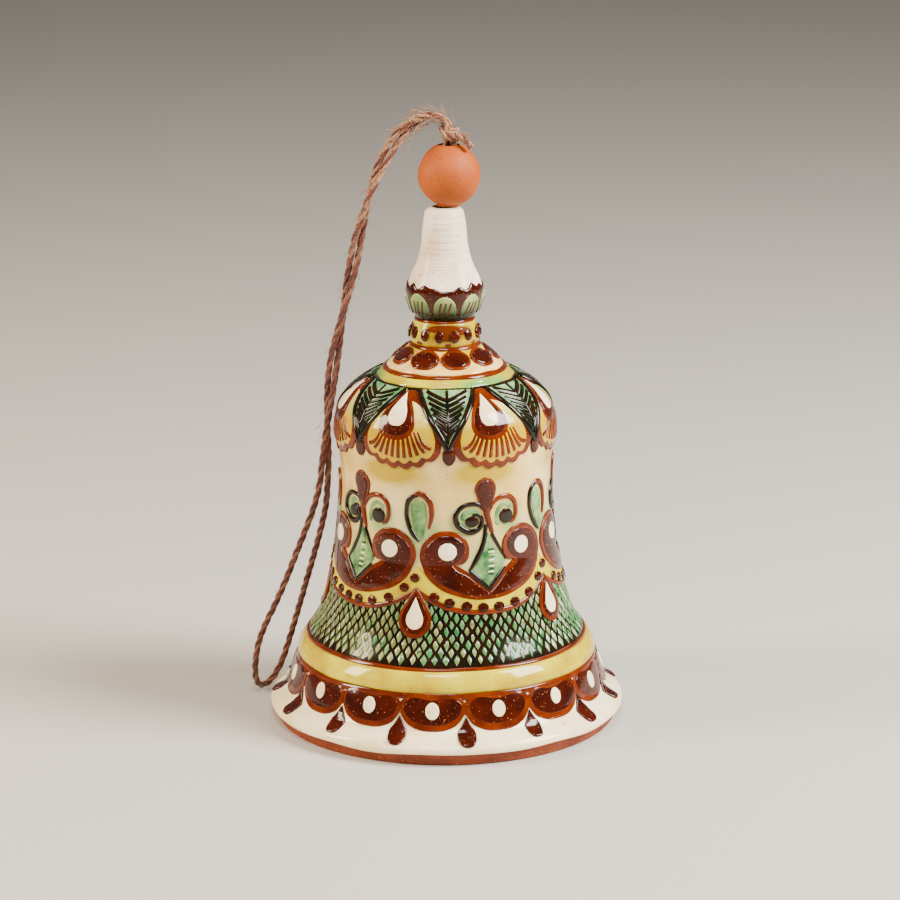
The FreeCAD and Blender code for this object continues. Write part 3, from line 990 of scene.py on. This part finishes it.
# %% Leaves of the shoulder
leaf_centres = [c + PETAL_STEP / 2 for c in petal_centres]
leaf_field = [(0, 77.4, "sharp"), (20.5, 77.4, "sharp"), (14.6, 75.0), (8.2, 71.8), (3.4, 69.0),
              (0, 66.6, "sharp")]
repeat("shoulder_leaves", cushion(mirrored(leaf_field), SHOULDER_RADIUS, 0.3, 0.72), leaf_centres,
       SHOULDER_RADIUS, LEAF_GREEN, 0.3)
ribs = [stroke([(0, 77.2), (0.3, 72.6), (0, 68.0)], SHOULDER_RADIUS, (0.9, 0.85, 0.6), 0.82)]
for side in (-1, 1):
    ribs.append(stroke([(side * 20.2, 77.3), (side * 14.6, 75.0), (side * 8.2, 71.8), (side * 3.4, 69.0),
                        (side * 0.2, 66.4)], SHOULDER_RADIUS, (1.1, 1.3, 1.3, 1.2, 0.9), 0.78))
    for n in range(8):
        height = 69.2 + 0.92 * n
        reach = 18.0 * ((height - 66.6) / 10.7) ** 1.15
        ribs.append(stroke([(side * 0.4, height), (side * reach, min(height + 1.5, 77.3))],
                           SHOULDER_RADIUS, (0.74, 0.6), 0.84, sides=1))
repeat("shoulder_ribs", joined(ribs), leaf_centres, SHOULDER_RADIUS, BLACK_SLIP, 0.2)
repeat("shoulder_blobs", disc(0.6, 65.4, 2.7, 4.0, SHOULDER_RADIUS, 0.1, 0.62, dome=0.25), leaf_centres,
       SHOULDER_RADIUS, BROWN, 1)

# %% [markdown]
# Up the cone the rings follow each other: black, yellow with green that ran into it, rust, and cream with
# nine brown ovals.  Each ring is a band, and the thin dark lines stand higher than the fields between
# them, because they were drawn last.

# %% Crown
CONE_RADIUS = 10.0
band("crown_line", 77.2, 77.9, 0.1, 0.46, BLACK_SLIP, rows=6, uneven=0.1, seed=30)
crown_ring = band("crown_yellow", 77.8, 79.4, 0.1, 0.42, YELLOW, rows=6, uneven=0.15, seed=31)
paint_runs(crown_ring, "green_run", [(a, 78.2, 24, 1.2, 1.8) for a in (36, 140, 268)])
band("crown_rust", 79.3, 80.2, 0.1, 0.46, RUST, rows=6, uneven=0.12, seed=32)
crown_cream = band("crown_cream", 80.1, 84.6, 0.05, 0.26, CREAM, columns=120, uneven=0.1, seed=33)
paint_runs(crown_cream, "yellow_run", [(a, 84.6, wide, 1.1, 2.2) for a, wide in
                                       ((38, 34), (-62, 20), (150, 36), (232, 24))])
oval = [(0, 84.5), (12.5, 84.1), (19.3, 82.8), (12.5, 81.4), (0, 81.0)]
oval_fill = [(0, 84.1), (10.8, 83.7), (16.6, 82.8), (10.8, 81.8), (0, 81.4)]
oval_centres = around(14.1, 9)
repeat("crown_ovals", cushion(mirrored(oval), CONE_RADIUS, 0.1, 0.56, size=0.7), oval_centres, CONE_RADIUS,
       RUST, 0.5)
repeat("crown_oval_fills", cushion(mirrored(oval_fill), CONE_RADIUS, 0.4, 0.74, size=0.7), oval_centres,
       CONE_RADIUS, BROWN, 0.5)
# %% [markdown]
# The neck is a yellow ring with raised dots and a few smears, and brown slip has run over it in three
# places.  Dots and smears are cushions.  The run is a stain painted on the yellow, because it has no edge
# that can be felt.

# %% Neck
NECK_RADIUS = 7.0
NECK_DOTS = 14
band("neck_groove", 84.5, 85.4, 0.05, 0.34, RUST, columns=120, rows=6, uneven=0.1, seed=34)
neck = band("neck_yellow", 85.3, 90.4, 0.05, 0.34, YELLOW, columns=120, rows=20, uneven=0.12, seed=35)
paint_runs(neck, "brown_run", [(a + shift, h, wide, 0.8, 2.6) for a in (6, 128, 246)
                               for shift, h, wide in ((-6, 89.3, 28), (0, 87.6, 20), (24, 88.8, 16))])
repeat("neck_dots", disc(0, 87.8, 1.75, 2.4, NECK_RADIUS, 0.15, 0.72, dome=0.35), around(-9.0, NECK_DOTS),
       NECK_RADIUS, BROWN, 1)
smears = joined([disc(a, h, 1.3, 0.7, NECK_RADIUS, 0.2, 0.5, edge=0.1) for a, h in
                 ((-48, 86.1), (-22, 89.4), (6, 86.0), (30, 89.3), (58, 86.2), (80, 89.2))])
repeat("neck_smears", smears, (0, 135, 255), NECK_RADIUS, RUST, 1)
# %% [markdown]
# Over a dark throat sits the brown collar, with pale arches and a ragged upper edge, and above it the white
# handle.  The ragged edge is one slow waver with a quicker ripple on it, as slip that was dabbed on.

# %% Collar and handle
COLLAR_RADIUS = 7.6
ARCHES = 8
band("throat_line", 90.2, 91.0, 0.05, 0.36, RUST, columns=120, rows=6, uneven=0.1, seed=36)
band("throat_dark", 90.9, 92.8, 0.05, 0.3, BLACK_SLIP, columns=120, rows=6, uneven=0.2, seed=37)
ragged = waver(40, 0.5)
band("collar_brown", 92.2, lambda a: 98.5 + ragged(a) + 0.22 * math.sin(math.radians(a) * 17), 0.05, 0.5,
     BROWN, columns=200, rows=14, soft=0.5, seed=38)
arch = [(0, 97.0), (12.0, 96.2), (18.6, 94.2), (19.4, 92.4, "sharp"), (0, 92.2)]
arch_centres = around(0.5, ARCHES)
repeat("collar_arches", cushion(mirrored(arch), COLLAR_RADIUS, 0.4, 0.72, size=0.7), arch_centres,
       COLLAR_RADIUS, ARCH_SLIP, 0.6)
arch_strokes = joined([stroke([(a - 3.5, 92.8), (a + 1.5, 95.6)], COLLAR_RADIUS, (0.55, 0.4), 0.78, sides=1)
                       for a in (-7, 0.5, 8)])
repeat("collar_strokes", arch_strokes, arch_centres, COLLAR_RADIUS, BROWN, 0.6)
band("handle_slip", 97.2, shell_top - 0.7, 0.0, 0.2, HANDLE_SLIP, columns=140, rows=60, uneven=0.1, seed=39)


def tip_slip():
    """The slip goes on over the rounded tip of the handle, down to the hole."""
    low = shell_top - 1.3
    edge = radius_at(low)
    outline = [(edge - 0.3, low), (edge + 0.2, low), (edge + 0.1, shell_top - 0.8),
               (edge - 0.6, shell_top - 0.12), (edge - 1.2, shell_top + 0.1), (2.62, shell_top + 0.12),
               (2.56, shell_top - 0.3)]
    finish_piece(spun("tip_slip", outline, 72), "tip_slip", HANDLE_SLIP, "bell")


tip_slip()

# %% [markdown]
# The bead and the clapper are balls of clay rolled by hand, pierced and fired without glaze.  A sphere with
# a hole cut in it would do, but its poles are crowded, so each is spun from an outline that turns in at
# the hole, and then pressed a little out of round.

# %% Bead and clapper ball
def clay_ball(name, node, bore, dimple, material, body, lumps):
    low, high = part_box(node)
    centre = (low + high) / 2
    radius = (high.x - low.x) / 2 / MM
    half = (high.z - low.z) / 2 / MM
    steps = np.linspace(math.asin(-(half + 0.2) / radius), math.asin(half / radius), 30)
    outline = [(radius * math.cos(a) - 0.03, radius * math.sin(a)) for a in steps]
    outline += [(bore + 0.35, half - dimple), (bore, half - 1.2), (bore, 1.2 - half),
                (bore + 0.15, -half - 0.18)]
    piece = spun(name, outline, 56)
    for vertex in piece.data.vertices:
        x, y, z = vertex.co / (radius * MM)
        free = min(1.0, max(0.0, (math.hypot(x, y) * radius - bore - 0.6) / 3))
        vertex.co *= 1 - free * lumps * (0.5 + 0.5 * math.sin(2.3 * x + 1.7 * y + 1.1)
                                         * math.cos(2.9 * z - 1.3 * x))
        vertex.co += centre
    finish_piece(piece, name, material, body)
    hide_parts(node)
    return piece


clay_ball("bead", "top_bead", 2.4, 0.5, BEAD_CLAY, "bead", 0.045)
clapper_clay = clay_ball("clapper_clay", "clapper_ball", 1.9, 0.2, CLAY, "clapper", 0.02)

# %% [markdown]
# The twine is two strands that wind slowly round each other, and each strand is three plies: one beige, one
# that turns from brown to beige, and one of glossy red-brown.  A textured tube would look flat where
# the plies cast shadows, so every ply is modelled.  The points are the twine's route, in metres.

# %% Route of the twine
STRAND = 1.6
PLY_OUT = 0.4
PLY_RADIUS = 0.385
PLY_TURN = 8.5
STRAND_TURN = 52.0
doubled_points = [(0.0014, 0, 0.13125), (0.0005, 0, 0.13465), (-0.0031, 0, 0.13575), (-0.0083, 0, 0.13305),
                  (-0.0137, 0, 0.12515), (-0.0177, 0.0004, 0.11385), (-0.0212, 0.0009, 0.097),
                  (-0.0248, 0.0014, 0.0805), (-0.0263, 0.0018, 0.0665), (-0.0267, 0.002, 0.0585),
                  (-0.0272, 0.0023, 0.053)]
open_points = [(-0.028016, 0.0023, 0.053), (-0.0288, 0.0021, 0.0484), (-0.0325, 0.0032, 0.0388),
               (-0.0376, 0.0051, 0.0254), (-0.0428, 0.0075, 0.0146), (-0.0441, 0.009, 0.0064),
               (-0.0436, 0.0113, 0.0013), (-0.0408, 0.0146, 0.0012), (-0.0382, 0.0174, 0.005),
               (-0.0353, 0.0162, 0.0145), (-0.0313, 0.0106, 0.029), (-0.028, 0.006, 0.0412),
               (-0.0266, 0.0034, 0.0482), (-0.026384, 0.0023, 0.053)]
tail_points = [(0.002, -0.0006, 0.1314), (0.0036, -0.0016, 0.131), (0.0051, -0.0024, 0.1299),
               (0.0059, -0.003, 0.1285)]
bore_points = [(0.0014, 0, 0.13025), (0.0011, 0, 0.12135), (0, 0, 0.108), (0, 0, 0.0765)]
clapper_points = [(0, 0, 0.0716), (0, 0, 0.05), (0, 0, 0.03), (0, 0, 0.00944)]


print("strand", STRAND, "mm, a ply turns once in", PLY_TURN, "mm")

# %% [markdown]
# The line is a smooth spline with the route's points as its controls, and every ply follows points that
# are read from that spline.  Winding needs two directions across the line that don't twist by
# themselves, so they are carried along it from its first point.

# %% Lines of the plies
def smooth_line(points, step=0.3 * MM):
    """Even points along the smooth spline that has these points as its controls."""
    curve = bpy.data.curves.new("line", "CURVE")
    curve.dimensions = "3D"
    spline = curve.splines.new("NURBS")
    spline.points.add(len(points) - 1)
    for knot, place in zip(spline.points, points):
        knot.co = (*place, 1)
    spline.order_u = 3
    spline.use_endpoint_u = True
    spline.resolution_u = 24
    holder = bpy.data.objects.new("line", curve)
    bpy.context.scene.collection.objects.link(holder)
    bpy.context.view_layer.update()
    mesh = bpy.data.meshes.new_from_object(holder)
    dense = np.array([v.co for v in mesh.vertices])
    bpy.data.objects.remove(holder)
    along = np.concatenate([[0], np.cumsum(np.linalg.norm(np.diff(dense, axis=0), axis=1))])
    even = np.linspace(0, along[-1], max(8, int(along[-1] / step)))
    return np.stack([np.interp(even, along, dense[:, n]) for n in range(3)], axis=1)


def length_of(line):
    return float(np.linalg.norm(np.diff(line, axis=0), axis=1).sum())


def sides_of(line):
    """Two directions across the line at each point, carried along it without twisting."""
    along = np.gradient(line, axis=0)
    along /= np.linalg.norm(along, axis=1)[:, None]
    first = np.cross(along[0], (0, 1, 0))
    across = [first / np.linalg.norm(first)]
    for direction in along[1:]:
        carried = across[-1] - direction * np.dot(across[-1], direction)
        across.append(carried / np.linalg.norm(carried))
    across = np.array(across)
    return across, np.cross(along, across)


def wound(line, radius, turn, phase):
    """A line that winds round another, once in every turn millimetres."""
    across, other = sides_of(line)
    walked = np.concatenate([[0], np.cumsum(np.linalg.norm(np.diff(line, axis=0), axis=1))])
    angle = phase + math.tau * walked / (turn * MM)
    return line + radius * MM * (np.cos(angle)[:, None] * across + np.sin(angle)[:, None] * other)


def strand_lines(line, phase=0.0):
    """Three plies that wind round a line, each with its finish."""
    return [(wound(line, PLY_OUT, PLY_TURN, phase + math.tau * n / 3), cotton)
            for n, cotton in enumerate((BEIGE, TURNING, RED_BROWN))]


def doubled_lines(line, phase=0.0):
    """The plies of two strands that wind slowly round each other."""
    return (strand_lines(wound(line, STRAND / 2, STRAND_TURN, phase))
            + strand_lines(wound(line, STRAND / 2, STRAND_TURN, phase + math.pi), 1.3))


print("open loop", round(length_of(smooth_line(open_points)) / MM, 1), "mm of strand")

# %% [markdown]
# Each ply is a round tube, and fine hairs stand off the twine and curl, most of them at the top, where it
# is worn.  The tubes of a stretch are joined into one piece that keeps a finish for each ply.

# %% Tubes and hairs
def tube(line, cotton, radius=PLY_RADIUS, sides=2):
    """A round tube along a line."""
    curve = bpy.data.curves.new("ply", "CURVE")
    curve.dimensions = "3D"
    curve.bevel_depth = radius * MM
    curve.bevel_resolution = sides
    curve.use_fill_caps = True
    spline = curve.splines.new("POLY")
    spline.points.add(len(line) - 1)
    for knot, place in zip(spline.points, line):
        knot.co = (*place, 1)
    curve.materials.append(cotton)
    return to_mesh(curve)


def hairs(line, reach, count, longest):
    """Short fine hairs that stand off the twine and curl."""
    across, other = sides_of(line)
    made = []
    for _ in range(count):
        n = hand.randrange(3, len(line) - 8)
        turn = hand.uniform(0, math.tau)
        out = math.cos(turn) * across[n] + math.sin(turn) * other[n]
        ahead = (line[n + 6] - line[n]) / np.linalg.norm(line[n + 6] - line[n])
        aside = np.cross(ahead, out) * hand.uniform(-0.5, 0.5)
        size = hand.uniform(0.35, 1) * longest * MM
        start = line[n] + out * reach * MM * 0.8
        steps = [start + size * (out * 0.5 * t + ahead * 0.9 * t + aside * t * t)
                 for t in (0, 0.33, 0.66, 1)]
        made.append(tube(steps, BEIGE, 0.035, 0))
    return made


def twine_piece(name, tubes, body=None):
    """Join tubes into one named piece that keeps the finish of each ply."""
    piece = joined(tubes)
    piece.name = name
    piece.data.name = name
    smooth(piece, 60)
    if body:
        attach(piece, body)
    print(name, len(piece.data.polygons), "faces")
    return piece


def tubes_of(lines):
    return [tube(line, cotton) for line, cotton in lines]


print("a ply is", 2 * PLY_RADIUS, "mm thick")

# %% [markdown]
# The loop comes out of the knot on the bead, arches over, hangs down doubled, and opens at its far end.  It
# bends at two places, so the doubled stretch is two pieces that part at its first bend, and the open end
# rides on the last body.  The inside twine and the cut tail turn with the knot.

# %% Hanging loop
line = smooth_line(doubled_points)
across, other = sides_of(line)
facing = math.atan2(other[-1][0], across[-1][0])
strands = doubled_lines(line, facing - math.tau * length_of(line) / (STRAND_TURN * MM))
parting = int(np.argmin(np.linalg.norm(line - np.array((-0.011, 0, 0.129)), axis=1)))
arch_tubes = tubes_of([(points[:parting + 1], cotton) for points, cotton in strands])
loop_arch = twine_piece("loop_arch", arch_tubes + hairs(line[:parting + 1], STRAND, 150, 4.0))
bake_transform(loop_arch)
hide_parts("loop_root")
side_line = line[parting:]
side_tubes = tubes_of([(points[parting:], cotton) for points, cotton in strands])
loop_side = twine_piece("loop_side", side_tubes + hairs(side_line, STRAND, 120, 2.6))
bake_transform(loop_side)
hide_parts("loop_bend", "loop_doubled")

open_line = smooth_line(open_points)
loop_end = twine_piece("loop_end", tubes_of(strand_lines(open_line)) + hairs(open_line, 0.8, 50, 1.6),
                       "loop")
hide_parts("loop_open")
bore_twine = twine_piece("bore_strands", tubes_of(doubled_lines(smooth_line(bore_points))), "twine")
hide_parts("bore_twine")
tail_line = smooth_line(tail_points)
tail = twine_piece("tail_strand", tubes_of(strand_lines(tail_line)) + hairs(tail_line, 0.8, 30, 2.4),
                   "twine")
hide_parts("knot_tail")

# %% [markdown]
# A knot could be one long tangled curve, but only its outside shows, so it is the strand wound round
# itself in a few close turns, with one turn crossed over the others.  The top knot sits on the bead, the
# crown knot holds the twine inside, and the last one carries the clapper.

# %% Knots and clapper twine
KNOT_STEPS = 30


def wrapped_knot(name, node, radius, turns, body):
    low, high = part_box(node)
    centre = np.array((low + high) / 2)
    rise = (high.z - low.z) - STRAND * MM
    count = int(turns * KNOT_STEPS)

    def turned(radius, step, up):
        angle = math.tau * step / KNOT_STEPS
        return centre + np.array((radius * MM * math.cos(angle), radius * MM * math.sin(angle), up))
    close = np.array([turned(radius, n, rise * (n / count - 0.5)) for n in range(count + 1)])
    over = np.array([turned(radius + 0.55, n + 4, 0.42 * rise * math.sin(math.tau * n / KNOT_STEPS))
                     for n in range(KNOT_STEPS + 1)])
    piece = twine_piece(name, tubes_of(strand_lines(close) + strand_lines(over)), body)
    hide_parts(node)
    return piece


wrapped_knot("top_wraps", "top_knot", 1.2, 2.6, "twine")
wrapped_knot("crown_wraps", "crown_knot", 2.4, 3.2, "twine")
clapper_wraps = wrapped_knot("clapper_wraps", "clapper_knot", 1.4, 2.6, "clapper")
clapper_line = smooth_line(clapper_points)
clapper_strands = twine_piece("clapper_strands", tubes_of(doubled_lines(clapper_line)), "clapper")
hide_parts("clapper_twine")

# %% [markdown]
# Last, the scene is brought up to date.

# %% Update
bpy.context.view_layer.update()
